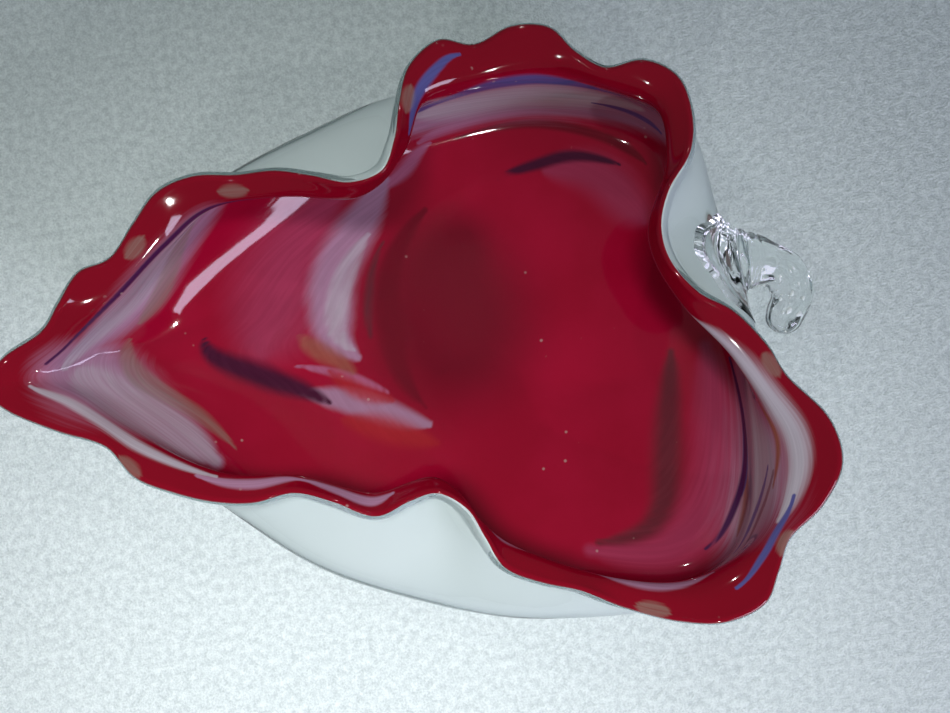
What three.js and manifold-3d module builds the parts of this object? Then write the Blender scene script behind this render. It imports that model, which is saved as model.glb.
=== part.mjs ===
// A heart-shaped bowl of hot-worked art glass, about 308 mm long with its stem and 66 mm high.
//
// The bowl is blown and shaped in layers: a ruby lining, a thin white opal layer and a thick clear
// casing. Threads and swirls of coloured glass lie in the ruby surface, and a clear crook stem is
// joined to the wall at the notch of the heart. Millimetres, +Z up. The origin is the middle of the
// ground foot and -X points to the tip.
import * as THREE from "three";
import { mergeVertices } from "three/addons/utils/BufferGeometryUtils.js";
import Module from "manifold-3d";

const wasm = await Module();
wasm.setup();

// Driving dimensions.
const FLOOR_THICKNESS = 9; // all the glass between the inside floor and the table
const BELLY_THICKNESS = 6.5;
const RIM_THICKNESS = 4.4;
const RUBY_THICKNESS = 1.5;
const OPAL_THICKNESS = 0.6;
const INLAY_THICKNESS = 0.8;
const SEAM = 0.3; // gap between two glasses that touch
const FLOOR_RADII = [35, 60]; // the flat of the inside floor
const COLUMNS = 90; // facets round the bowl
const ROWS = [1, 2, 2.5, 3, 3.5, 4, 4.5, 5, 5.5, 6]; // rings of facets, counted in contours

// The inside surface runs through four closed contours, each listed anticlockwise from the tip.
// A contour's points are evenly matched: each fold point has two rim points beside it, and each
// knee and wall point has four.

// The fire-polished rim: crests and valleys of the ruffles, with a pinch on each side and a notch.
const RIM = [
  [-200, 0, 50], [-194, -9, 50], [-176, -19, 52], [-158, -27, 54], [-148, -39, 57], [-135, -46, 58],
  [-121, -51, 59], [-107, -53, 60], [-92, -51, 61], [-78, -56, 62], [-65, -63, 62], [-53, -59, 64],
  [-42, -57, 66], [-32, -64, 65], [-27, -76, 62], [-22, -88, 61], [-10, -95, 60], [4, -100, 60],
  [18, -109, 58], [34, -115, 60], [50, -117, 62], [65, -113, 61], [72, -103, 59], [78, -92, 58],
  [90, -82, 60], [98, -68, 62], [96, -52, 61], [85, -36, 58], [79, -24, 59], [69, -11, 60],
  [56, -3, 63], [47, 9, 65], [45, 22, 66], [50, 35, 65], [60, 47, 63], [63, 60, 62],
  [60, 73, 62], [49, 80, 62], [36, 80, 59], [26, 87, 60], [18, 96, 62], [5, 98, 62],
  [-8, 95, 59], [-20, 97, 62], [-31, 90, 62], [-36, 77, 63], [-39, 64, 65], [-45, 53, 65],
  [-58, 51, 63], [-71, 56, 61], [-84, 60, 60], [-98, 61, 58], [-112, 62, 60], [-125, 58, 61],
  [-136, 49, 58], [-147, 39, 55], [-158, 35, 57], [-166, 25, 57], [-176, 16, 53], [-192, 9, 51],
];

// The soft fold where the wall turns out into the lip.
const FOLD = [
  [-184, 1, 44], [-170, -9, 46], [-147, -27, 49], [-120, -42, 50], [-93, -48, 50],
  [-67, -58, 50], [-43, -57, 53], [-29, -74, 52], [-14, -86, 51], [15, -99, 52],
  [42, -104, 53], [65, -96, 52], [78, -80, 52], [81, -56, 52], [69, -28, 52],
  [53, -5, 52], [45, 20, 53], [54, 45, 53], [53, 66, 54], [34, 77, 53],
  [15, 84, 53], [-8, 84, 53], [-28, 79, 54], [-38, 63, 52], [-57, 50, 50],
  [-83, 53, 50], [-110, 53, 49], [-128, 42, 50], [-148, 27, 48], [-171, 11, 45],
];

// The wall at its widest, which swells out under the pinches and the notch.
const WALL = [
  [-168, 1, 31], [-140, -29, 35], [-96, -76, 30], [-50, -100, 27], [-8, -110, 33],
  [48, -110, 33], [74, -86, 33], [78, -28, 34], [71, 24, 30], [60, 65, 34],
  [17, 81, 34], [-33, 82, 34], [-62, 77, 33], [-108, 57, 37], [-145, 24, 34],
];

// The knee where the floor turns up into the wall.
const KNEE = [
  [-138, 0, 18], [-117, -23, 16], [-88, -60, 15], [-47, -84, 14], [-8, -95, 14],
  [46, -107, 16], [70, -86, 16], [77, -31, 16], [65, 21, 15], [56, 60, 16],
  [16, 77, 16], [-29, 74, 16], [-54, 62, 15], [-94, 42, 16], [-120, 17, 17],
];

// Swirls and threads of coloured glass in the ruby surface: the run of each one's middle line in
// plan, half its greatest width, and the heights between which it lies.
const INLAYS = [
  {
    name: "cobalt_thread_top",
    colour: 0x2b2a86,
    run: [[-29, 77], [-17, 82], [-2, 84], [12, 84], [27, 81], [40, 76]],
    halfWidth: 3,
    heights: [42, 49],
  },
  {
    name: "opal_swirl_top",
    colour: 0xb79ab4,
    run: [[-32, 76], [-18, 80], [0, 81], [18, 80], [36, 76], [50, 70]],
    halfWidth: 5,
    heights: [22, 36],
  },
  {
    name: "cobalt_thread_floor",
    colour: 0x43357a,
    run: [[-2, 57], [14, 62], [31, 63], [46, 60]],
    halfWidth: 2.5,
    heights: [5, 20],
  },
  {
    name: "purple_streak_tip",
    colour: 0x3a1038,
    run: [[-123, 11], [-119, 1], [-112, -9], [-102, -18], [-89, -23]],
    halfWidth: 4,
    heights: [5, 30],
  },
  {
    name: "opal_crescent_floor",
    colour: 0xbfa3bb,
    run: [[-53, 55], [-64, 38], [-71, 20], [-71, 3], [-65, -12], [-57, -27], [-46, -40]],
    halfWidth: 5,
    heights: [5, 25],
  },
  {
    name: "opal_fan_tip",
    colour: 0xa5839c,
    run: [[-170, 5], [-157, 10], [-145, 18], [-131, 29], [-118, 39]],
    halfWidth: 5,
    heights: [15, 45],
  },
  {
    name: "amber_fleck_floor",
    colour: 0xa3481c,
    run: [[-90, -3], [-83, -13], [-75, -22]],
    halfWidth: 2.2,
    heights: [5, 25],
  },
  {
    name: "umber_streak_floor",
    colour: 0x43131c,
    run: [[61, -25], [60, -43], [53, -62], [40, -78], [26, -88], [14, -95]],
    halfWidth: 4,
    heights: [5, 25],
  },
  {
    name: "amber_band_right",
    colour: 0x8a3a26,
    run: [[79, -42], [81, -58], [77, -74], [69, -88]],
    halfWidth: 4,
    heights: [20, 28],
  },
  {
    name: "opal_crescent_right",
    colour: 0xab90a6,
    run: [[77, -40], [82, -56], [79, -74], [69, -91], [56, -102]],
    halfWidth: 5,
    heights: [31, 44],
  },
  {
    name: "cobalt_thread_right",
    colour: 0x2e2f94,
    run: [[88, -70], [83, -80], [76, -89], [70, -97], [63, -106]],
    halfWidth: 2.5,
    heights: [48, 65],
  },
];

// The crook stem: the middle line from inside the wall to the end of the hook, with half the
// width along the wall and half the height at each point.
const STEM_LINE = [[67, 11, 35], [78, 9, 34], [89, 7, 32], [98, 3, 31], [101, -6, 30], [97, -15, 30]];
const STEM_HALF_WIDTHS = [20, 14.5, 9.5, 8, 7.8, 6.6];
const STEM_HALF_HEIGHTS = [12, 10, 8.5, 8, 7.5, 6.6];
const STEM_SIDES = 16;
const STEM_STEPS = 18;
const STEM_DOME_STEPS = 4;

const vector = (point) => new THREE.Vector3(...point);
const spline = (points, closed) => new THREE.CatmullRomCurve3(points, closed, "catmullrom", 0.5);
const contour = (points) => spline(points.map(vector), true);

const kneeContour = contour(KNEE);
const wallContour = contour(WALL);
const foldContour = contour(FOLD);
const rimContour = contour(RIM);

// The line of the inside surface from the middle of the floor out to the rim. u is the place
// round the bowl, from 0 to 1.
function meridian(u) {
  const knee = kneeContour.getPoint(u);
  const outward = new THREE.Vector3(knee.x, knee.y, 0).normalize();
  const floor = FLOOR_RADII.map((radius) => outward.clone().multiplyScalar(radius).setZ(FLOOR_THICKNESS));
  const middle = new THREE.Vector3(0, 0, FLOOR_THICKNESS);
  const upper = [wallContour, foldContour, rimContour].map((curve) => curve.getPoint(u));
  return spline([middle, ...floor, knee, ...upper], false);
}

const LAST_ROW = ROWS[ROWS.length - 1];
const insidePoint = (u, row) => meridian(u).getPoint(row / LAST_ROW);

// The direction through the glass, from the inside surface to the outside.
function outwardNormal(u, row) {
  const du = 1e-3;
  const dRow = 1e-2;
  const around = insidePoint((u + du) % 1, row).sub(insidePoint((u - du + 1) % 1, row));
  const up = insidePoint(u, Math.min(row + dRow, LAST_ROW)).sub(insidePoint(u, row - dRow));
  return around.cross(up).normalize();
}

// The thickness of the whole glass at a row.
function glassThickness(row) {
  const [, flatRow, , kneeRow] = ROWS;
  if (row <= flatRow) return FLOOR_THICKNESS;
  if (row <= kneeRow + 1) {
    return THREE.MathUtils.mapLinear(row, flatRow, kneeRow + 1, FLOOR_THICKNESS, BELLY_THICKNESS);
  }
  return THREE.MathUtils.mapLinear(row, kneeRow + 1, LAST_ROW, BELLY_THICKNESS, RIM_THICKNESS);
}

// The grid of inside points with their normals, shared by every layer so that the facets of
// neighbouring layers stay parallel.
const grid = ROWS.map((row) =>
  Array.from({ length: COLUMNS }, (_, column) => {
    const u = column / COLUMNS;
    return { row, point: insidePoint(u, row), normal: outwardNormal(u, row) };
  }),
);
const apex = {
  row: 0,
  point: new THREE.Vector3(0, 0, FLOOR_THICKNESS),
  normal: new THREE.Vector3(0, 0, -1),
};

// A layer of the bowl between two depths below the inside surface. A depth is a number, or a
// function of the row. The ground foot is the flat that keeps every layer above the table.
function layerGeometry(innerDepth, outerDepth) {
  const positions = [];
  const addSheet = (depth) => {
    const first = positions.length / 3;
    for (const { row, point, normal } of [apex, ...grid.flat()]) {
      const below = typeof depth === "function" ? depth(row) : depth;
      const place = point.clone().addScaledVector(normal, below);
      positions.push(place.x, place.y, Math.max(place.z, 0));
    }
    return first;
  };
  const inner = addSheet(innerDepth);
  const outer = addSheet(outerDepth);

  const indices = [];
  const ring = (sheet, row, column) => sheet + 1 + row * COLUMNS + (column % COLUMNS);
  const quad = (a, b, c, d) => indices.push(a, b, c, a, c, d);
  for (let column = 0; column < COLUMNS; column += 1) {
    indices.push(inner, ring(inner, 0, column), ring(inner, 0, column + 1));
    indices.push(outer, ring(outer, 0, column + 1), ring(outer, 0, column));
    for (let row = 0; row < ROWS.length - 1; row += 1) {
      quad(
        ring(inner, row, column),
        ring(inner, row + 1, column),
        ring(inner, row + 1, column + 1),
        ring(inner, row, column + 1),
      );
      quad(
        ring(outer, row, column),
        ring(outer, row, column + 1),
        ring(outer, row + 1, column + 1),
        ring(outer, row + 1, column),
      );
    }
    const rim = ROWS.length - 1;
    quad(
      ring(inner, rim, column),
      ring(outer, rim, column),
      ring(outer, rim, column + 1),
      ring(inner, rim, column + 1),
    );
  }
  return new THREE.BufferGeometry()
    .setAttribute("position", new THREE.Float32BufferAttribute(positions, 3))
    .setIndex(indices);
}

function toSolid(geometry) {
  const bare = geometry.clone();
  bare.deleteAttribute("normal");
  bare.deleteAttribute("uv");
  const merged = mergeVertices(bare, 1e-4);
  return new wasm.Manifold(
    new wasm.Mesh({
      numProp: 3,
      vertProperties: new Float32Array(merged.attributes.position.array),
      triVerts: new Uint32Array(merged.index.array),
    }),
  );
}

function toGeometry(solid) {
  const mesh = solid.getMesh();
  return new THREE.BufferGeometry()
    .setAttribute("position", new THREE.BufferAttribute(mesh.vertProperties, 3))
    .setIndex(new THREE.BufferAttribute(mesh.triVerts, 1));
}

const layerSolid = (innerDepth, outerDepth) => toSolid(layerGeometry(innerDepth, outerDepth));

// A standing prism over one swirl's plan outline, grown on all sides by a margin.
function inlayPrism({ run, halfWidth, heights }, margin) {
  const steps = 3 * (run.length - 1);
  const endHalfWidth = 0.4;
  const line = spline(run.map(([x, y]) => new THREE.Vector3(x, y, 0)), false);
  const left = [];
  const right = [];
  for (let step = 0; step <= steps; step += 1) {
    const t = step / steps;
    const tangent = line.getTangent(t);
    const side = new THREE.Vector3(-tangent.y, tangent.x, 0);
    const end = step === 0 ? -1 : Number(step === steps);
    const middle = line.getPoint(t).addScaledVector(tangent, end * margin);
    const swell = Math.sin(Math.PI * t) ** 0.7;
    const half = THREE.MathUtils.lerp(endHalfWidth, halfWidth, swell) + margin;
    left.push(middle.clone().addScaledVector(side, half));
    right.unshift(middle.clone().addScaledVector(side, -half));
  }
  const outline = new THREE.Shape([...left, ...right].map(({ x, y }) => new THREE.Vector2(x, y)));
  const [low, high] = heights;
  const prism = new THREE.ExtrudeGeometry(outline, {
    depth: high - low + 2 * margin,
    bevelEnabled: false,
  });
  return toSolid(prism.translate(0, 0, low - margin));
}

// The stem: a round-ended loft of ellipses along its line, cut back to the outside of the wall.
function stemSolid() {
  const line = spline(STEM_LINE.map(vector), false);
  const along = (values, t) => {
    const points = values.map((value) => new THREE.Vector3(value, 0, 0));
    return spline(points, false).getPoint(t).x;
  };
  const rings = [];
  for (let step = 0; step <= STEM_STEPS; step += 1) rings.push({ t: step / STEM_STEPS, shrink: 1, reach: 0 });
  for (let step = 1; step < STEM_DOME_STEPS; step += 1) {
    const angle = (step / STEM_DOME_STEPS) * (Math.PI / 2);
    rings.push({ t: 1, shrink: Math.cos(angle), reach: Math.sin(angle) });
  }
  const positions = [];
  for (const { t, shrink, reach } of rings) {
    const halfWidth = along(STEM_HALF_WIDTHS, t);
    const halfHeight = along(STEM_HALF_HEIGHTS, t);
    const tangent = line.getTangent(t);
    const side = new THREE.Vector3(0, 0, 1).cross(tangent).normalize();
    const rise = tangent.clone().cross(side);
    const middle = line.getPoint(t).addScaledVector(tangent, reach * halfWidth);
    for (let k = 0; k < STEM_SIDES; k += 1) {
      const angle = (k / STEM_SIDES) * 2 * Math.PI;
      const place = middle
        .clone()
        .addScaledVector(side, shrink * halfWidth * Math.cos(angle))
        .addScaledVector(rise, shrink * halfHeight * Math.sin(angle));
      positions.push(place.x, place.y, place.z);
    }
  }
  const root = line.getPoint(0);
  const lastHalfWidth = STEM_HALF_WIDTHS[STEM_HALF_WIDTHS.length - 1];
  const end = line.getPoint(1).addScaledVector(line.getTangent(1), lastHalfWidth);
  positions.push(root.x, root.y, root.z, end.x, end.y, end.z);

  const indices = [];
  const rootIndex = rings.length * STEM_SIDES;
  const at = (ringNumber, k) => ringNumber * STEM_SIDES + (k % STEM_SIDES);
  for (let k = 0; k < STEM_SIDES; k += 1) {
    indices.push(rootIndex, at(0, k + 1), at(0, k));
    for (let n = 0; n < rings.length - 1; n += 1) {
      indices.push(at(n, k), at(n, k + 1), at(n + 1, k + 1));
      indices.push(at(n, k), at(n + 1, k + 1), at(n + 1, k));
    }
    indices.push(at(rings.length - 1, k), at(rings.length - 1, k + 1), rootIndex + 1);
  }
  const whole = toSolid(
    new THREE.BufferGeometry()
      .setAttribute("position", new THREE.Float32BufferAttribute(positions, 3))
      .setIndex(indices),
  );
  const wall = layerSolid(0, (row) => glassThickness(row) + SEAM);
  const pieces = whole.subtract(wall).decompose();
  return pieces.reduce((best, piece) => (piece.volume() > best.volume() ? piece : best));
}

const bowl = new THREE.Group();
function addPiece(name, solid, colour, roughness, opacity = 1) {
  const material = new THREE.MeshStandardMaterial({
    color: colour,
    roughness,
    metalness: 0,
    transparent: opacity < 1,
    opacity,
  });
  const mesh = new THREE.Mesh(toGeometry(solid), material);
  mesh.name = name;
  bowl.add(mesh);
}

// The layers, from the inside out.
const opalDepth = RUBY_THICKNESS + SEAM;
const casingDepth = opalDepth + OPAL_THICKNESS + SEAM;
const inlaySkin = layerSolid(0, INLAY_THICKNESS);
const grooveSkin = layerSolid(-INLAY_THICKNESS, INLAY_THICKNESS + SEAM);
let ruby = layerSolid(0, RUBY_THICKNESS);
for (const inlay of INLAYS) {
  ruby = ruby.subtract(grooveSkin.intersect(inlayPrism(inlay, SEAM)));
  addPiece(inlay.name, inlaySkin.intersect(inlayPrism(inlay, 0)), inlay.colour, 0.08);
}
addPiece("ruby_lining", ruby, 0x8f0018, 0.06);
addPiece("white_opal_layer", layerSolid(opalDepth, opalDepth + OPAL_THICKNESS), 0xe9efec, 0.1);
addPiece("clear_casing", layerSolid(casingDepth, glassThickness), 0xdfe9e6, 0.03, 0.35);
addPiece("clear_stem", stemSolid(), 0xe2ebe8, 0.03, 0.35);

export default bowl;
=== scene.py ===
"""Looks of the heart-shaped cased art glass bowl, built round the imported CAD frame.

The bowl's inside surface is a loft through four closed contours, the same ones as the CAD part has.
Places on it are given as (station, row): station runs from 0 to 60 anticlockwise round the bowl from
the tip, and row from 0 in the middle of the floor through 3 at the knee, 4 at the widest part of the
wall and 5 at the fold of the lip to 6 at the rim. Lengths in this file are in millimetres until
make_mesh turns them into metres.
"""

import math

import bpy
import numpy as np
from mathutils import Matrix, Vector
from mathutils.bvhtree import BVHTree


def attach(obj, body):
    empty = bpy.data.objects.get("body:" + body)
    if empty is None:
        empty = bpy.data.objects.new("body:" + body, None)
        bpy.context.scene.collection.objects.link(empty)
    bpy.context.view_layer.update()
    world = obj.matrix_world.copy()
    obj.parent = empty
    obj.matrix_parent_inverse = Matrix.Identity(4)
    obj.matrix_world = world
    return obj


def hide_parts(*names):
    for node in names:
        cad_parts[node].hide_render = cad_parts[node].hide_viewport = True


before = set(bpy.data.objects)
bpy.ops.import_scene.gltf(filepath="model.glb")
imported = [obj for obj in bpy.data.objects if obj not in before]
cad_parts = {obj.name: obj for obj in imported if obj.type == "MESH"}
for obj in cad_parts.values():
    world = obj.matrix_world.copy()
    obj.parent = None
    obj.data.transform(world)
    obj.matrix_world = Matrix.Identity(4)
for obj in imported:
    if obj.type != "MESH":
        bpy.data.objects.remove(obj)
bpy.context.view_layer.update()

MM = 0.001
STATIONS = 60
FLOOR_THICKNESS = 9.0
BELLY_THICKNESS = 6.5
RIM_THICKNESS = 4.4
RUBY_THICKNESS = 1.5
OPAL_THICKNESS = 0.6
OPAL_GAP = 0.05  # from the ruby's back to the opal
CASING_GAP = 0.3  # from the ruby's back to the casing's inner sheet, which lies inside the opal
FLOOR_RADII = (35.0, 60.0)
FLOOR_ROW = 2.0
WALL_ROW = 4.0
FOLD_ROW = 5.0
RIM_ROW = 6.0
INNERMOST_ROW = 0.3  # where a layer's hidden sheet begins

RIM = [
    (-200, 0, 50), (-194, -9, 50), (-176, -19, 52), (-158, -27, 54), (-148, -39, 57), (-135, -46, 58),
    (-121, -51, 59), (-107, -53, 60), (-92, -51, 61), (-78, -56, 62), (-65, -63, 62), (-53, -59, 64),
    (-42, -57, 66), (-32, -64, 65), (-27, -76, 62), (-22, -88, 61), (-10, -95, 60), (4, -100, 60),
    (18, -109, 58), (34, -115, 60), (50, -117, 62), (65, -113, 61), (72, -103, 59), (78, -92, 58),
    (90, -82, 60), (98, -68, 62), (96, -52, 61), (85, -36, 58), (79, -24, 59), (69, -11, 60),
    (56, -3, 63), (47, 9, 65), (45, 22, 66), (50, 35, 65), (60, 47, 63), (63, 60, 62),
    (60, 73, 62), (49, 80, 62), (36, 80, 59), (26, 87, 60), (18, 96, 62), (5, 98, 62),
    (-8, 95, 59), (-20, 97, 62), (-31, 90, 62), (-36, 77, 63), (-39, 64, 65), (-45, 53, 65),
    (-58, 51, 63), (-71, 56, 61), (-84, 60, 60), (-98, 61, 58), (-112, 62, 60), (-125, 58, 61),
    (-136, 49, 58), (-147, 39, 55), (-158, 35, 57), (-166, 25, 57), (-176, 16, 53), (-192, 9, 51),
]
FOLD = [
    (-184, 1, 44), (-170, -9, 46), (-147, -27, 49), (-120, -42, 50), (-93, -48, 50),
    (-67, -58, 50), (-43, -57, 53), (-29, -74, 52), (-14, -86, 51), (15, -99, 52),
    (42, -104, 53), (65, -96, 52), (78, -80, 52), (81, -56, 52), (69, -28, 52),
    (53, -5, 52), (45, 20, 53), (54, 45, 53), (53, 66, 54), (34, 77, 53),
    (15, 84, 53), (-8, 84, 53), (-28, 79, 54), (-38, 63, 52), (-57, 50, 50),
    (-83, 53, 50), (-110, 53, 49), (-128, 42, 50), (-148, 27, 48), (-171, 11, 45),
]
WALL = [
    (-168, 1, 31), (-140, -29, 35), (-96, -76, 30), (-50, -100, 27), (-8, -110, 33),
    (48, -110, 33), (74, -86, 33), (78, -28, 34), (71, 24, 30), (60, 65, 34),
    (17, 81, 34), (-33, 82, 34), (-62, 77, 33), (-108, 57, 37), (-145, 24, 34),
]
KNEE = [
    (-138, 0, 18), (-117, -23, 16), (-88, -60, 15), (-47, -84, 14), (-8, -95, 14),
    (46, -107, 16), (70, -86, 16), (77, -31, 16), (65, 21, 15), (56, 60, 16),
    (16, 77, 16), (-29, 74, 16), (-54, 62, 15), (-94, 42, 16), (-120, 17, 17),
]


# The surface of the bowl.

def catmull_rom(before, start, end, after, t):
    """The point at t, from 0 to 1, between start and end of a uniform Catmull-Rom spline."""
    return 0.5 * (
        2 * start
        + (end - before) * t
        + (2 * before - 5 * start + 4 * end - after) * t**2
        + (3 * start - before - 3 * end + after) * t**3
    )


def closed_spline(points, u):
    points = np.array(points, float)
    place = (u % 1.0) * len(points)
    index = np.floor(place).astype(int)
    corners = [points[(index + k) % len(points)] for k in (-1, 0, 1, 2)]
    return catmull_rom(*corners, (place - index)[:, None])


def open_spline(points, t):
    """Points of an open spline. t runs from 0 to 1 over the whole of it."""
    points = np.array(points, float).reshape(len(points), -1)
    ends = [2 * points[:1] - points[1:2], points, 2 * points[-1:] - points[-2:-1]]
    padded = np.concatenate(ends)
    place = np.asarray(t, float) * (len(points) - 1)
    index = np.clip(np.floor(place).astype(int), 0, len(points) - 2)
    corners = [padded[index + k] for k in range(4)]
    return catmull_rom(*corners, (place - index)[:, None])


def inside_surface(u, rows):
    """Points of the inside surface at places u, (n,), and rows, (m, n)."""
    knee = closed_spline(KNEE, u)
    outward = knee * (1, 1, 0)
    outward /= np.linalg.norm(outward, axis=1)[:, None]
    middle = np.tile((0.0, 0.0, FLOOR_THICKNESS), (len(u), 1))
    floor = [outward * radius + (0, 0, FLOOR_THICKNESS) for radius in FLOOR_RADII]
    upper = [closed_spline(contour, u) for contour in (WALL, FOLD, RIM)]
    line = [middle, *floor, knee, *upper]
    padded = np.stack([2 * line[0] - line[1], *line, 2 * line[-1] - line[-2]])
    index = np.clip(np.floor(rows).astype(int), 0, len(line) - 2)
    columns = np.arange(len(u))[None, :]
    corners = [padded[index + k, columns] for k in range(4)]
    return catmull_rom(*corners, (rows - index)[..., None])


def unit(vectors):
    return vectors / np.maximum(np.linalg.norm(vectors, axis=-1, keepdims=True), 1e-9)


def surface_frame(u, rows):
    """Points, outward normals and upward tangents of the inside surface."""
    du, drow = 5e-4, 5e-3
    around = inside_surface(u + du, rows) - inside_surface(u - du, rows)
    low = np.maximum(rows - drow, 0.02)
    high = np.minimum(rows + drow, RIM_ROW)
    up = unit(inside_surface(u, high) - inside_surface(u, low))
    return inside_surface(u, rows), unit(np.cross(around, up)), up


def glass_thickness(rows):
    marks = (0, FLOOR_ROW, WALL_ROW, RIM_ROW)
    return np.interp(rows, marks, (FLOOR_THICKNESS, FLOOR_THICKNESS, BELLY_THICKNESS, RIM_THICKNESS))


def above_table(points):
    """The ground foot: nothing reaches below the table."""
    points = points.copy()
    points[..., 2] = np.maximum(points[..., 2], 0)
    return points


def row_fractions(*spans):
    """Row numbers made of evenly split spans, each (first, last, count)."""
    parts = [np.linspace(first, last, count, endpoint=False) for first, last, count in spans]
    return np.concatenate([*parts, [spans[-1][1]]])


class Section:
    """The grid of section lines of one layer, listed from the middle of its inner sheet, out over
    the bead of the rim and back to the middle of its outer sheet."""

    def __init__(self, columns):
        self.u = np.arange(columns) / columns
        step = inside_surface(self.u, np.full((1, columns), RIM_ROW))
        step -= inside_surface(self.u, np.full((1, columns), RIM_ROW - 0.1))
        row_length = np.linalg.norm(step, axis=-1)[0] / 0.1
        self.bead = RIM_THICKNESS / 2
        self.last_row = RIM_ROW - self.bead / row_length
        self.lines = []
        self.rows = []

    def sheet(self, fractions, depth):
        """Adds a sheet at a depth below the inside surface, a number or a function of the row."""
        lip = (fractions[:, None] - FOLD_ROW) * (self.last_row - FOLD_ROW)[None, :]
        rows = np.where(fractions[:, None] > FOLD_ROW, FOLD_ROW + lip, fractions[:, None])
        point, normal, _ = surface_frame(self.u, rows)
        below = depth(rows) if callable(depth) else np.full(rows.shape, float(depth))
        self.lines.append(above_table(point + normal * below[..., None]))
        self.rows.append(rows)

    def arc(self, angles, radius):
        """Adds part of the rim's bead. Angle 0 is the inside surface, and 180 the outside."""
        rows = self.last_row[None, :]
        point, normal, up = surface_frame(self.u, rows)
        centre = point + normal * self.bead
        angles = np.radians(angles)[:, None, None]
        swing = np.sin(angles) * up - np.cos(angles) * normal
        self.lines.append(centre + radius * swing)
        self.rows.append(np.full((len(angles), len(self.u)), RIM_ROW))

    def tongue(self, depth, reach):
        """Adds one line inside the bead, reach beyond the last row."""
        point, normal, up = surface_frame(self.u, self.last_row[None, :])
        self.lines.append(point + normal * depth + up * reach)
        self.rows.append(np.full((1, len(self.u)), RIM_ROW))

    def vertices(self):
        grid = np.concatenate(self.lines)
        first = grid[0].mean(axis=0)
        last = grid[-1].mean(axis=0)
        return np.concatenate([[first], grid.reshape(-1, 3), [last]])

    def faces(self):
        columns = len(self.u)
        lines = sum(len(line) for line in self.lines)
        column = np.arange(columns)
        following = (column + 1) % columns
        quads = []
        for line in range(lines - 1):
            here, there = 1 + line * columns, 1 + (line + 1) * columns
            quads.append(np.stack([here + column, there + column, there + following, here + following], 1))
        first = [(0, 1 + a, 1 + b) for a, b in zip(column, following)]
        top = 1 + (lines - 1) * columns
        last = [(top + b, top + a, top + columns) for a, b in zip(column, following)]
        return first + [tuple(q) for q in np.concatenate(quads).tolist()] + last

    def all_rows(self):
        """(station, row) of every vertex."""
        rows = np.concatenate(self.rows)
        stations = np.tile(self.u * STATIONS, (len(rows), 1))
        grid = np.stack([stations, rows], -1).reshape(-1, 2)
        return np.concatenate([[(0, 0)], grid, [(0, 0)]])


def make_mesh(name, vertices, faces):
    mesh = bpy.data.meshes.new(name)
    mesh.from_pydata((np.asarray(vertices) * MM).tolist(), [], faces)
    mesh.validate()
    mesh.shade_smooth()
    piece = bpy.data.objects.new(name, mesh)
    bpy.context.scene.collection.objects.link(piece)
    return piece


def add_attribute(piece, name, values):
    layer = piece.data.attributes.new(name, "FLOAT", "POINT")
    layer.data.foreach_set("value", np.asarray(values, np.float32))


def add_vectors(piece, name, values):
    layer = piece.data.attributes.new(name, "FLOAT_VECTOR", "POINT")
    layer.data.foreach_set("vector", np.asarray(values, np.float32).ravel())


# The colours in the ruby.

THINNEST_STREAK = 0.7
STREAK_SAMPLES = 60  # for each span between two of a streak's places
STREAK_TAPER = 0.55  # 1 would thin a streak as a sine, and 0 not at all

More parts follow.
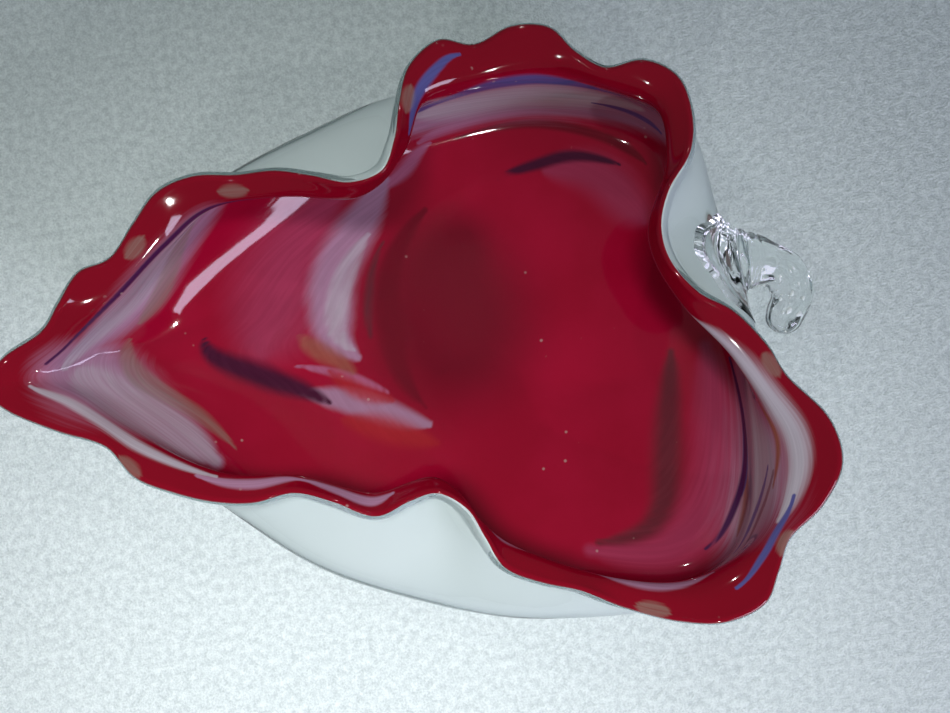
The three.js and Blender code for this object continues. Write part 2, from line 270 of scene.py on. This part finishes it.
# The streaks of coloured glass in the ruby. Each is a colour, its strength, its greatest half width in
# millimetres, and the few places it runs through as (station, row). Stations past 60 go on round the tip.
STROKES = [
    # The floor: a dark pool with a violet streak on its far side and an umber one on its near side.
    ("deep", 0.9, 42, [(46, 1.2), (53, 1), (60, 0.9), (66, 1.2)]),
    ("shade", 0.9, 7, [(47, 2), (52, 1.95), (57, 1.9), (63, 1.9), (68, 1.9)]),
    ("violet", 0.9, 2.8, [(41.8, 1.9), (40, 2.1), (38.5, 2.35), (36.5, 2.5)]),
    ("pink", 0.7, 10, [(39.5, 2), (37.5, 2.2), (35, 2.1), (33.5, 2.1)]),
    ("umber", 0.7, 7, [(28, 2.05), (25, 2.3), (22, 2.5), (17.8, 2.8)]),
    ("pink", 0.8, 14, [(28.5, 2.6), (25, 2.8), (21.5, 2.8), (17.5, 2.9)]),
    # The crescent on the tip's side of the floor, with its brown edge and amber fleck.
    ("pink", 0.9, 22, [(49.5, 3.1), (52.5, 2.8), (55, 2.7), (60, 2.6)]),
    ("lilac", 1, 9, [(47.5, 2.9), (50, 2.55), (54, 2.4), (58, 2.3), (62.5, 2.2)]),
    ("white", 0.3, 5, [(50, 2.4), (53, 2.35), (57, 2.3), (61.5, 2.2)]),
    ("umber", 0.8, 2.2, [(50, 2.2), (53, 2.13), (56, 2.1), (60, 2.07)]),
    ("amber", 0.5, 4.5, [(58.5, 2.45), (61, 2.35), (64, 2.25)]),
    ("coral", 0.5, 4, [(63, 2.4), (65, 2.3), (66.5, 2.1)]),
    ("rose", 0.8, 2.2, [(62, 2.5), (64, 2.3), (66, 2.1)]),
    ("lilac", 0.9, 5.5, [(64, 2.6), (66, 2.3), (69, 2)]),
    ("coral", 0.5, 6, [(66, 2.5), (67.5, 2.3), (70, 2.1)]),
    # The tip: a violet streak, the white wisp and the pale bands that meet at the point.
    ("violet", 0.75, 5.5, [(58, 2.95), (61, 2.75), (63, 2.65), (65, 2.5)]),
    ("lilac", 1, 17, [(58.5, 4.4), (60, 4.2), (62, 4), (65, 3.8)]),
    # Partly painted light: a pale band that is also laid broad to brighten the tip's lower wall, which lies
    # in shade.
    ("white", 0.25, 12, [(60, 4.2), (62.5, 4), (65, 3.8)]),
    ("tan", 0.2, 3.5, [(58, 3.7), (60, 3.5), (62.5, 3.4), (65, 3.4)]),
    ("lilac", 1, 10, [(59.5, 4.4), (57, 4.3), (55, 4.3), (53, 4.4), (50.5, 4.7)]),
    ("tan", 0.2, 3, [(57, 3.8), (55, 3.9), (53, 4.3)]),
    ("white", 0.4, 7, [(59.5, 4.5), (56, 4.4), (54, 4.5), (51.5, 4.8)]),
    ("navy", 0.8, 1.3, [(59, 5), (55, 5), (52, 5), (50, 5)]),
    ("white", 0.6, 2.6, [(60.5, 5.2), (62.5, 5.15), (64, 5.2), (66, 5.3)]),
    # The far wall, from the pinch to the notch.
    ("rose", 0.7, 3.2, [(48, 2.8), (46, 2.8), (44, 3)]),
    ("deep", 0.7, 2.5, [(43, 2.9), (40, 2.9), (37, 2.8), (35.5, 2.8)]),
    ("rose", 0.7, 4, [(44.5, 3.1), (42, 3.3), (39, 3.4), (36.5, 3.4)]),
    ("lilac", 1, 14, [(45, 3.5), (43, 3.8), (40, 3.9), (37, 3.9), (35, 3.8)]),
    # Partly painted light: a pale band that is also laid broad and strong to brighten the far wall, which
    # the lamps leave darker.
    ("white", 0.6, 12, [(44, 3.8), (41, 4), (37, 4)]),
    ("cobalt", 1, 4.2, [(44, 3.9), (42.5, 4.5), (40.5, 4.7), (37.5, 4.5)]),
    ("cobalt", 0.6, 1.8, [(38.5, 3.8), (37, 3.7), (35.8, 3.6)]),
    ("cobalt", 0.9, 2.2, [(42.5, 5.7), (44, 5.4), (45.5, 5.4)]),
    # The right wall, below the notch.
    ("lilac", 1, 19, [(28.5, 3.6), (26.5, 4), (25, 4.1), (23, 4), (20, 4)]),
    # Partly painted light: a pale band that is also laid wide and full to brighten the steep right wall,
    # which lies in shade.
    ("white", 0.9, 16, [(27.5, 3.9), (25.5, 4.1), (23.5, 4), (21, 4)]),
    ("navy", 0.8, 1.6, [(28.2, 3.1), (26, 3.3), (24, 3.1), (21.5, 3)]),
    ("cobalt", 0.5, 2, [(26.8, 3.3), (25.5, 3.3), (24.5, 3.2)]),
    ("amber", 0.6, 3, [(25.5, 3.3), (24.3, 3.4), (23, 3.4)]),
    ("amber", 0.8, 1.6, [(27.3, 4.6), (26, 4.9), (24.5, 4.7)]),
    ("umber", 0.3, 1.3, [(25, 4.7), (23.5, 4.3), (22, 4.3)]),
    ("cobalt", 0.3, 1.4, [(25.2, 4.5), (23.8, 4.1), (22, 4)]),
    # The lip: the broad white band, the cobalt tail below it and pale lines along the fold.
    ("white", 1, 5.5, [(29.5, 5.1), (27.5, 5.2), (25.5, 5.3), (23.3, 5.2)]),
    ("cobalt", 1, 1.3, [(24.2, 5.3), (22.5, 5.4), (20.8, 5.5)]),
    ("lilac", 0.8, 1.6, [(33, 5.2), (31.5, 5.2), (29.5, 5.1)]),
    ("lilac", 0.8, 2.2, [(17.5, 5), (19, 5.1), (20.7, 4.9)]),
    ("lilac", 0.7, 2, [(5.5, 5.4), (7, 5.5), (8.2, 5.5)]),
    ("lilac", 0.7, 2, [(8.2, 5.5), (9.7, 5.6), (10.6, 5.5)]),
    ("lilac", 0.7, 2, [(14.3, 5.2), (15.2, 5.1), (16.3, 5)]),
]

# Worn places on the lip where the clear casing shows a tan edge: the station and row of each middle.
TAN_PATCHES = [(51.2, 5.5), (54.5, 5.6), (18.6, 5.8), (27.5, 5.8), (22.8, 5.9), (3.8, 5.9), (44.7, 5.7)]
PATCH_LENGTH = 0.7  # in stations
PATCH_HALF_WIDTH = 2.4
for station, row in TAN_PATCHES:
    reach = PATCH_LENGTH / 2
    places = [(station + shift, row) for shift in (-reach, 0, reach)]
    STROKES.append(("tan", 0.2, PATCH_HALF_WIDTH, places))

# Each colour of glass, laid over the ones before it: its colour, the closeness at which it starts and
# at which it is full, and how far the drawn glass strays from its line.
GLASS_COLOURS = {
    "deep": ((0.16, 0.003, 0.014), -0.3, 0.7, 0.1),
    "shade": ((0.15, 0.003, 0.013), -0.2, 0.6, 0.1),
    "pink": ((0.33, 0.03, 0.08), -0.4, 0.9, 0.4),
    "rose": ((0.38, 0.10, 0.19), -0.4, 0.7, 0.6),
    "lilac": ((0.36, 0.18, 0.28), -0.4, 0.5, 0.5),
    "white": ((0.44, 0.39, 0.44), -0.3, 0.8, 0.7),
    "coral": ((0.37, 0.015, 0.02), -0.4, 0.9, 0.4),
    "amber": ((0.29, 0.09, 0.06), -0.3, 0.9, 0.5),
    "umber": ((0.12, 0.016, 0.026), -0.5, 0.9, 0.3),
    "violet": ((0.06, 0.005, 0.026), -0.4, 0.7, 0.3),
    "cobalt": ((0.085, 0.08, 0.25), -0.3, 0.5, 0.3),
    "navy": ((0.06, 0.012, 0.06), -0.4, 0.5, 0.2),
    "tan": ((0.24, 0.165, 0.135), -0.6, 0.9, 0.8),
}
RUBY_COLOURS = ((0.29, 0.002, 0.020), (0.33, 0.003, 0.026))
LIP_COLOUR = (0.21, 0.0012, 0.011)
CLEAR_TINT = (0.97, 0.99, 0.985)
GLASS_IOR = 1.5


def stroke_samples(half_width, places):
    """Points along one streak on the inside surface, with the half width at each. It thins at its ends."""
    steps = np.linspace(0, 1, STREAK_SAMPLES * (len(places) - 1) + 1)
    along = open_spline(places, steps)
    rows = np.clip(along[:, 1], 0.05, RIM_ROW)[None, :]
    points = inside_surface(along[:, 0] / STATIONS, rows)[0]
    widths = half_width * np.sin(np.pi * np.clip(steps, 0.02, 0.98)) ** STREAK_TAPER
    return points, np.maximum(widths, THINNEST_STREAK)


def closeness(vertices, colour):
    """1 on the middle line of a colour's nearest streak, 0 at its edge and less beyond it."""
    best = np.full(len(vertices), -1.0)
    for name, strength, half_width, places in STROKES:
        if name != colour:
            continue
        points, widths = stroke_samples(half_width, places)
        lowest = points.min(axis=0) - half_width * 2
        highest = points.max(axis=0) + half_width * 2
        near = np.where(np.all((vertices > lowest) & (vertices < highest), axis=1))[0]
        distance = np.linalg.norm(vertices[near, None] - points[None], axis=2)
        found = (1 - distance / widths).max(axis=1)
        best[near] = np.maximum(best[near], np.minimum(found, strength))
    return best


def flow_coordinates(places):
    """Coordinates that run slowly along the glass's flow and fast across it, without a seam."""
    angle = places[:, 0] / STATIONS * 2 * np.pi
    return np.stack([np.cos(angle), np.sin(angle), places[:, 1]], 1)


# The layers of the bowl.

def build_ruby():
    section = Section(640)
    section.sheet(row_fractions((0.15, 2, 14), (2, 3, 26), (3, 5, 44), (5, 6, 26)), 0)
    section.arc(np.linspace(12, 60, 4), section.bead)
    section.tongue(RUBY_THICKNESS, 1.0)
    hidden_rows = row_fractions((INNERMOST_ROW, 2, 2), (2, 4.5, 6), (4.5, 6, 22))
    section.sheet(hidden_rows[::-1], RUBY_THICKNESS)
    vertices = section.vertices()
    piece = make_mesh("ruby_glass_lining", vertices, section.faces())
    for colour in GLASS_COLOURS:
        add_attribute(piece, colour, closeness(vertices, colour))
    places = section.all_rows()
    add_vectors(piece, "flow", flow_coordinates(places))
    add_attribute(piece, "row", places[:, 1])
    return piece


def build_opal():
    section = Section(320)
    start = RUBY_THICKNESS + OPAL_GAP
    rows = row_fractions((INNERMOST_ROW, 2, 4), (2, 6, 40))
    section.sheet(rows, start)
    section.tongue(start, 1.1)
    section.tongue(RUBY_THICKNESS + OPAL_THICKNESS, 1.1)
    section.sheet(rows[::-1], RUBY_THICKNESS + OPAL_THICKNESS)
    return make_mesh("white_opal_glass", section.vertices(), section.faces())


def build_casing():
    section = Section(480)
    start = RUBY_THICKNESS + CASING_GAP
    section.sheet(row_fractions((INNERMOST_ROW, 2, 3), (2, 4.5, 8), (4.5, 6, 26)), start)
    section.tongue(start, 0.8)
    section.arc(np.linspace(62, 180, 11)[:-1], section.bead)
    outer_rows = row_fractions((INNERMOST_ROW, 2, 8), (2, 3, 16), (3, 5, 30), (5, 6, 16))
    section.sheet(outer_rows[::-1], glass_thickness)
    return make_mesh("clear_glass_casing", section.vertices(), section.faces())


# The stem.

STEM_LINE = [(67, 11, 35), (78, 9, 34), (89, 7, 32), (98, 3, 31), (101, -6, 30), (97, -15, 30)]
STEM_HALF_WIDTHS = [20, 14.5, 9.5, 8, 7.8, 6.6]
STEM_HALF_HEIGHTS = [12, 10, 8.5, 8, 7.5, 6.6]
STEM_SIDES = 64
STEM_STEPS = 70
DOME_STEPS = 10
FAN_START = 0.06  # where on the line the fan's spread is taken
ROD_START = 0.36
FAN_GROWTH = 1.08
FAN_DROOP = np.array((0, -3.5, 0))
FAN_BEND = 6.0
ROOT_SEAM = 0.15  # the stem stands this far off the casing
RAY_START = 35.0  # how far out the search for the wall behind the fan begins
TWIST_DEPTH = 0.04  # tooling marks, as a share of the rod's size
FAN_STEPS = 48
FAN_FOLDS = 0.03  # depth of the folds across the fan, as a share of its size


def stem_section(t, grow=1.0):
    """One section of the stem at t, from 0 at the wall to 1: its ring, middle and tangent."""
    middle = open_spline(STEM_LINE, [t])[0]
    ahead = open_spline(STEM_LINE, [min(t + 0.01, 1)])[0]
    ahead = ahead - open_spline(STEM_LINE, [max(t - 0.01, 0)])[0]
    tangent = ahead / np.linalg.norm(ahead)
    side = np.cross((0, 0, 1), tangent)
    side /= np.linalg.norm(side)
    rise = np.cross(tangent, side)
    half_width = open_spline(STEM_HALF_WIDTHS, [t])[0, 0] * grow
    half_height = open_spline(STEM_HALF_HEIGHTS, [t])[0, 0] * grow
    angle = np.arange(STEM_SIDES) / STEM_SIDES * 2 * np.pi
    twist = np.cos(5 * angle + 13 * t) + 0.5 * np.cos(9 * angle - 8 * t) + 0.5 * np.sin(34 * t)
    ribs = 1 + TWIST_DEPTH * twist
    ring = (
        middle
        + np.outer(np.cos(angle) * ribs, side) * half_width
        + np.outer(np.sin(angle) * ribs, rise) * half_height
    )
    return ring, middle, tangent


def stem_root(bvh):
    """The fan that spreads from the rod over the wall, behind it a sheet that follows the wall."""
    rod, _, tangent = stem_section(ROD_START)
    spread, middle, outward = stem_section(FAN_START, FAN_GROWTH)
    spread, middle = spread + FAN_DROOP, middle + FAN_DROOP

    def onto_wall(points, clearance):
        starts = [Vector((point + outward * RAY_START) * MM) for point in points]
        hits = [bvh.ray_cast(start, Vector(-outward))[0] for start in starts]
        return np.array(hits) / MM + outward * clearance

    shares = (0.04, 0.3, 0.55, 0.8, 1)
    back = [onto_wall(middle + (spread - middle) * share, ROOT_SEAM) for share in shares]
    roots = onto_wall(spread, ROOT_SEAM * 3)
    bend = rod - tangent * FAN_BEND
    steps = np.linspace(0, 1, FAN_STEPS, endpoint=False)[:, None, None]
    fan = (1 - steps) ** 2 * roots + 2 * steps * (1 - steps) * bend + steps**2 * rod
    centres = fan.mean(axis=1, keepdims=True)
    fan = centres + (fan - centres) * (1 + FAN_FOLDS * np.sin(8 * np.pi * steps))
    return back + list(fan)


def loft(name, rings, first, last):
    """A closed body through rings of equally many points, with its two end points."""
    sides = len(rings[0])
    vertices = [first, *np.concatenate(rings), last]
    column = np.arange(sides)
    following = (column + 1) % sides
    faces = [(0, 1 + b, 1 + a) for a, b in zip(column, following)]
    for n in range(len(rings) - 1):
        here, there = 1 + n * sides, 1 + (n + 1) * sides
        faces += [(here + a, here + b, there + b, there + a) for a, b in zip(column, following)]
    end = 1 + (len(rings) - 1) * sides
    faces += [(end + a, end + b, end + sides) for a, b in zip(column, following)]
    return make_mesh(name, vertices, [tuple(int(i) for i in face) for face in faces])


def build_stem(casing):
    """The crook: its root is laid onto the casing's outside, and its end is domed."""
    bvh = BVHTree.FromObject(casing, bpy.context.evaluated_depsgraph_get())
    rings = stem_root(bvh)
    rings += [stem_section(t)[0] for t in np.linspace(ROD_START, 1, STEM_STEPS)]
    end_ring, end, tangent = stem_section(1)
    reach = tangent * STEM_HALF_WIDTHS[-1]
    for angle in np.linspace(0, np.pi / 2, DOME_STEPS, endpoint=False)[1:]:
        rings.append(end + (end_ring - end) * np.cos(angle) + reach * np.sin(angle))
    return loft("clear_glass_stem", rings, rings[0].mean(axis=0), end + reach)


BUBBLE_COUNT = 22
BUBBLE_RADII = (0.3, 0.75)
BUBBLE_SPAN = (0.62, 0.99)  # where on the stem's line they gather
BUBBLE_SIDES = 10
BUBBLE_RINGS = 8


def build_bubbles():
    """Small drawn-out air bubbles caught in the end of the crook, shaded opaque and nearly white: painted
    highlights for the glints that bubbles catch.
    """
    random = np.random.default_rng(7)
    vertices, faces = [], []
    latitude = np.linspace(0.02, math.pi - 0.02, BUBBLE_RINGS)
    for _ in range(BUBBLE_COUNT):
        t = random.uniform(*BUBBLE_SPAN)
        ring, middle, tangent = stem_section(t)
        centre = middle + (ring[random.integers(STEM_SIDES)] - middle) * random.uniform(0.1, 0.72)
        radius = random.uniform(*BUBBLE_RADII)
        length = random.uniform(1, 1.9)
        across = unit(np.cross(tangent, (0, 0, 1)))
        up = np.cross(across, tangent)
        first = len(vertices)
        for angle in latitude:
            for turn in np.arange(BUBBLE_SIDES) / BUBBLE_SIDES * 2 * math.pi:
                sideways = (across * math.cos(turn) + up * math.sin(turn)) * math.sin(angle)
                vertices.append(centre + radius * (sideways + tangent * math.cos(angle) * length))
        for step in range(len(latitude) - 1):
            for side in range(BUBBLE_SIDES):
                here, there = first + step * BUBBLE_SIDES, first + (step + 1) * BUBBLE_SIDES
                after = (side + 1) % BUBBLE_SIDES
                faces.append((here + side, there + side, there + after, here + after))
        faces.append(tuple(first + k for k in range(BUBBLE_SIDES)))
        last = first + (len(latitude) - 1) * BUBBLE_SIDES
        faces.append(tuple(last + k for k in reversed(range(BUBBLE_SIDES))))
    return make_mesh("stem_bubbles", vertices, faces)


VEIL_STATIONS = (32.3, 29.2)
VEIL_ROWS = (4.15, 4.0)
VEIL_HALF_ROW = 0.16
VEIL_DEPTH = 3.0
VEIL_HALF_THICKNESS = 0.3
VEIL_STEPS = 40
VEIL_SIDES = 24


def build_veil():
    """A wisp of brown glass trapped in the casing under the fan of the stem."""
    rings = []
    angle = np.linspace(0, 2 * np.pi, VEIL_SIDES, endpoint=False)
    for share in np.linspace(0.01, 0.99, VEIL_STEPS):
        half = VEIL_HALF_ROW * math.sin(math.pi * share) ** 0.6
        rows = np.interp(share, (0, 1), VEIL_ROWS) + half * np.cos(angle)
        u = np.full(VEIL_SIDES, np.interp(share, (0, 1), VEIL_STATIONS) / STATIONS)
        point, normal, _ = surface_frame(u, rows[None, :])
        depth = VEIL_DEPTH + VEIL_HALF_THICKNESS * np.sin(angle)
        rings.append((point + normal * depth[None, :, None])[0])
    return loft("brown_glass_veil", rings, rings[0].mean(axis=0), rings[-1].mean(axis=0))


# Materials.

def new_material(name):
    material = bpy.data.materials.new(name)
    material.use_nodes = True
    nodes = material.node_tree.nodes
    nodes.clear()
    return material, nodes, material.node_tree.links


def node(nodes, kind, **settings):
    made = nodes.new(kind)
    for key, value in settings.items():
        setattr(made, key, value)
    return made


def mix_colour(nodes, links, factor, first, second):
    mix = node(nodes, "ShaderNodeMix", data_type="RGBA")
    for socket, value in ((mix.inputs[0], factor), (mix.inputs[6], first), (mix.inputs[7], second)):
        if isinstance(value, bpy.types.NodeSocket):
            links.new(value, socket)
        elif isinstance(value, tuple):
            socket.default_value = (*value, 1)
        else:
            socket.default_value = value
    return mix.outputs[2]


def maths(nodes, links, operation, first, second=None, clamp=False):
    made = node(nodes, "ShaderNodeMath", operation=operation, use_clamp=clamp)
    for socket, value in zip(made.inputs, (first, second)):
        if isinstance(value, bpy.types.NodeSocket):
            links.new(value, socket)
        elif value is not None:
            socket.default_value = value
    return made.outputs[0]


def smooth_range(nodes, links, value, low, high, top=1.0):
    made = node(nodes, "ShaderNodeMapRange", interpolation_type="SMOOTHSTEP")
    links.new(value, made.inputs["Value"])
    made.inputs["From Min"].default_value = low
    made.inputs["From Max"].default_value = high
    made.inputs["To Max"].default_value = top
    return made.outputs["Result"]


def object_position(nodes):
    return node(nodes, "ShaderNodeTexCoord").outputs["Object"]


def attribute(nodes, name):
    """A number that each vertex carries."""
    return node(nodes, "ShaderNodeAttribute", attribute_name=name).outputs["Fac"]


def noise(nodes, links, vector, scale, detail=2.0, roughness=0.5):
    made = node(nodes, "ShaderNodeTexNoise")
    links.new(vector, made.inputs["Vector"])
    made.inputs["Scale"].default_value = scale
    made.inputs["Detail"].default_value = detail
    made.inputs["Roughness"].default_value = roughness
    return made.outputs[0]


def drawn_noise(nodes, links, flow, fineness, detail, roughness=0.5):
    """Noise drawn out along the glass's flow. fineness is its number of grains to a row across the flow."""
    stretch = node(nodes, "ShaderNodeVectorMath", operation="MULTIPLY")
    links.new(flow, stretch.inputs[0])
    stretch.inputs[1].default_value = (3.0, 3.0, fineness)
    return noise(nodes, links, stretch.outputs[0], 1.0, detail, roughness)


def add_bump(nodes, links, height, strength, distance, shader):
    bump = node(nodes, "ShaderNodeBump")
    bump.inputs["Strength"].default_value = strength
    bump.inputs["Distance"].default_value = distance
    links.new(height, bump.inputs["Height"])
    links.new(bump.outputs[0], shader.inputs["Normal"])


def opaque_shader(nodes, links, colour, roughness):
    """An opaque surface of a colour, joined to the material's output."""
    shader = node(nodes, "ShaderNodeBsdfPrincipled")
    links.new(colour, shader.inputs["Base Color"])
    shader.inputs["Roughness"].default_value = roughness
    output = node(nodes, "ShaderNodeOutputMaterial")
    links.new(shader.outputs[0], output.inputs["Surface"])
    return shader


def mottled_material(name, grain, first, second, roughness):
    """A material that wanders between two colours."""
    material, nodes, links = new_material(name)
    cloud = noise(nodes, links, object_position(nodes), grain)
    opaque_shader(nodes, links, mix_colour(nodes, links, cloud, first, second), roughness)
    return material


def with_specks(nodes, links, position, colour):
    """Fine pale seeds and dust, sparse and in patches."""
    cells = node(nodes, "ShaderNodeTexVoronoi")
    links.new(position, cells.inputs["Vector"])
    cells.inputs["Scale"].default_value = 150
    near = smooth_range(nodes, links, cells.outputs["Distance"], 0.13, 0.05)
    some = smooth_range(nodes, links, noise(nodes, links, position, 55), 0.60, 0.64, 0.5)
    return mix_colour(nodes, links, maths(nodes, links, "MULTIPLY", near, some), colour, (0.50, 0.34, 0.32))


def ruby_material():
    """Red glass, darker on the lip, with each colour's streaks laid over the ones before it."""
    material, nodes, links = new_material("ruby_glass")
    flow = node(nodes, "ShaderNodeAttribute", attribute_name="flow").outputs["Vector"]
    position = object_position(nodes)
    row = attribute(nodes, "row")
    cloud = smooth_range(nodes, links, noise(nodes, links, position, 28, 4), 0.35, 0.7)
    colour = mix_colour(nodes, links, cloud, *RUBY_COLOURS)
    on_lip = smooth_range(nodes, links, row, 4.7, 5.2)
    colour = mix_colour(nodes, links, on_lip, colour, LIP_COLOUR)

    on_wall = smooth_range(nodes, links, row, 1.7, 2.6)
    wobble = maths(nodes, links, "SUBTRACT", drawn_noise(nodes, links, flow, 16.0, 6, 0.6), 0.5)
    wobble = maths(nodes, links, "MULTIPLY", wobble, on_wall)
    threads = smooth_range(nodes, links, drawn_noise(nodes, links, flow, 30.0, 3), 0.35, 0.7)
    threads = maths(nodes, links, "MULTIPLY", threads, on_wall)
    for name, (glass, low, high, stray) in GLASS_COLOURS.items():
        shifted = maths(nodes, links, "MULTIPLY_ADD", wobble, stray)
        links.new(attribute(nodes, name), shifted.node.inputs[2])
        mask = smooth_range(nodes, links, shifted, low, high)
        paler = tuple(channel * 1.07 + 0.002 for channel in glass)
        deeper = tuple(channel * 0.93 for channel in glass)
        tint = mix_colour(nodes, links, threads, deeper, paler)
        colour = mix_colour(nodes, links, mask, colour, tint)

    shader = opaque_shader(nodes, links, with_specks(nodes, links, position, colour), 0.06)
    shader.inputs["IOR"].default_value = GLASS_IOR
    add_bump(nodes, links, noise(nodes, links, position, 60), 0.12, 0.0006, shader)
    return material


def clear_material(name, tint):
    """Clear glass that lets lamps through, so what is cased in it stays lit."""
    material, nodes, links = new_material(name)
    glass = node(nodes, "ShaderNodeBsdfPrincipled")
    glass.inputs["Base Color"].default_value = (*tint, 1)
    glass.inputs["Roughness"].default_value = 0.02
    glass.inputs["IOR"].default_value = GLASS_IOR
    glass.inputs["Transmission Weight"].default_value = 1
    add_bump(nodes, links, noise(nodes, links, object_position(nodes), 45), 0.1, 0.0006, glass)
    window = node(nodes, "ShaderNodeBsdfTransparent")
    window.inputs["Color"].default_value = (*tint, 1)
    rays = node(nodes, "ShaderNodeLightPath")
    passing = maths(nodes, links, "MAXIMUM", rays.outputs["Is Shadow Ray"], rays.outputs["Is Diffuse Ray"])
    choice = node(nodes, "ShaderNodeMixShader")
    links.new(passing, choice.inputs[0])
    links.new(glass.outputs[0], choice.inputs[1])
    links.new(window.outputs[0], choice.inputs[2])
    output = node(nodes, "ShaderNodeOutputMaterial")
    links.new(choice.outputs[0], output.inputs["Surface"])
    return material


def floor_material():
    material, nodes, links = new_material("pale_cloth")
    position = object_position(nodes)
    coarse = noise(nodes, links, position, 330, 4)
    fine = noise(nodes, links, position, 1100, 4)
    fluff = maths(nodes, links, "ADD", coarse, fine)
    shade = smooth_range(nodes, links, fluff, 0.6, 1.4)
    colour = mix_colour(nodes, links, shade, (0.50, 0.56, 0.56), (0.76, 0.83, 0.82))
    shader = opaque_shader(nodes, links, colour, 0.95)
    shader.inputs["Specular IOR Level"].default_value = 0.1
    add_bump(nodes, links, fluff, 0.6, 0.0012, shader)
    return material


# The stage.

def add_camera():
    """Straight down on the bowl, at the height that gives the rim and foot their sizes."""
    data = bpy.data.cameras.new("camera")
    data.sensor_width = 36
    data.lens = 31.19
    data.clip_start = 0.01
    camera = bpy.data.objects.new("camera", data)
    camera.location = (-0.0231, -0.0136, 0.347)
    camera.rotation_euler = (0, 0, math.radians(-8))
    bpy.context.scene.collection.objects.link(camera)
    bpy.context.scene.camera = camera


def aim(place, target):
    """The rotation that turns a lamp at a place towards a target."""
    return (Vector(target) - Vector(place)).to_track_quat("-Z", "Y").to_euler()


def add_area_light(name, place, target, size, power, colour=(1, 1, 1)):
    data = bpy.data.lights.new(name, "AREA")
    data.shape = "RECTANGLE"
    data.size, data.size_y = size
    data.energy = power
    data.color = colour
    light = bpy.data.objects.new(name, data)
    light.location = place
    light.rotation_euler = aim(place, target)
    bpy.context.scene.collection.objects.link(light)


def add_soft_lamp(place, target, radius, cone, power):
    """The broad light overhead. It falls off to the sides and makes no reflection of its own."""
    data = bpy.data.lights.new("soft_lamp", "SPOT")
    data.shadow_soft_size = radius
    data.spot_size = math.radians(cone)
    data.spot_blend = 1
    data.energy = power
    lamp = bpy.data.objects.new("soft_lamp", data)
    lamp.location = place
    lamp.rotation_euler = aim(place, target)
    lamp.visible_glossy = False
    bpy.context.scene.collection.objects.link(lamp)


def add_stage():
    bpy.ops.mesh.primitive_plane_add(size=6)
    floor = bpy.context.object
    floor.name = "floor"
    floor.data.materials.append(floor_material())
    world = bpy.data.worlds.new("studio")
    world.use_nodes = True
    nodes, links = world.node_tree.nodes, world.node_tree.links
    background = nodes["Background"]
    background.inputs["Color"].default_value = (0.78, 0.92, 1.0, 1)
    rays = node(nodes, "ShaderNodeLightPath")
    for_cloth = maths(nodes, links, "MULTIPLY", rays.outputs["Is Diffuse Ray"], 0.10)
    for_glass = maths(nodes, links, "MULTIPLY", rays.outputs["Is Transmission Ray"], 0.16)
    added = maths(nodes, links, "ADD", for_cloth, for_glass)
    links.new(maths(nodes, links, "ADD", added, 0.10), background.inputs["Strength"])
    bpy.context.scene.world = world
    add_soft_lamp((-0.13, 0.08, 1.2), (-0.12, -0.18, 0), 0.20, 31, 66)
    window_place = (0.66, -0.91, 0.50)
    add_area_light("window", window_place, (-0.12, 0.03, 0.02), (0.56, 0.34), 6.0, (0.78, 0.74, 1))
    add_area_light("right_spark", (0.15, -0.80, 0.50), (0, 0, 0), (0.03, 0.03), 0.9)
    add_area_light("left_spark", (-0.35, -0.62, 0.75), (0, 0, 0), (0.02, 0.02), 0.7)
    add_area_light("far_spark", (0.05, 0.55, 0.80), (0, 0, 0), (0.02, 0.02), 0.5)
    bpy.context.scene.view_settings.view_transform = "Standard"


add_camera()
add_stage()
ruby = build_ruby()
opal = build_opal()
casing = build_casing()
stem = build_stem(casing)
veil = build_veil()
bubbles = build_bubbles()
ruby.data.materials.append(ruby_material())
opal.data.materials.append(
    mottled_material("white_opal_glass", 20, (0.55, 0.62, 0.61), (0.62, 0.68, 0.67), 0.25)
)
casing.data.materials.append(clear_material("clear_glass", CLEAR_TINT))
stem.data.materials.append(clear_material("stem_glass", CLEAR_TINT))
veil.data.materials.append(
    mottled_material("brown_glass", 90, (0.13, 0.05, 0.045), (0.24, 0.19, 0.17), 0.3)
)
# Painted highlight: the bubbles are opaque and nearly white, standing in for the bright reflections that
# air in glass gives.
bubbles.data.materials.append(
    mottled_material("bubble_painted_highlight", 900, (0.72, 0.78, 0.78), (1.0, 1.0, 1.0), 0.12)
)

INLAY_NODES = [
    "cobalt_thread_top", "cobalt_thread_floor", "cobalt_thread_right", "opal_swirl_top",
    "opal_crescent_floor", "opal_crescent_right", "opal_fan_tip", "purple_streak_tip",
    "umber_streak_floor", "amber_fleck_floor", "amber_band_right",
]
for piece, slot, replaced in (
    (ruby, "ruby_glass", ["ruby_lining", *INLAY_NODES]),
    (opal, "white_opal_glass", ["white_opal_layer"]),
    (casing, "clear_glass", ["clear_casing"]),
    (stem, "stem_glass", ["clear_stem"]),
    (bubbles, "stem_glass", []),
    (veil, "umber_glass", []),
):
    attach(piece, "root")
    if replaced:
        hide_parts(*replaced)
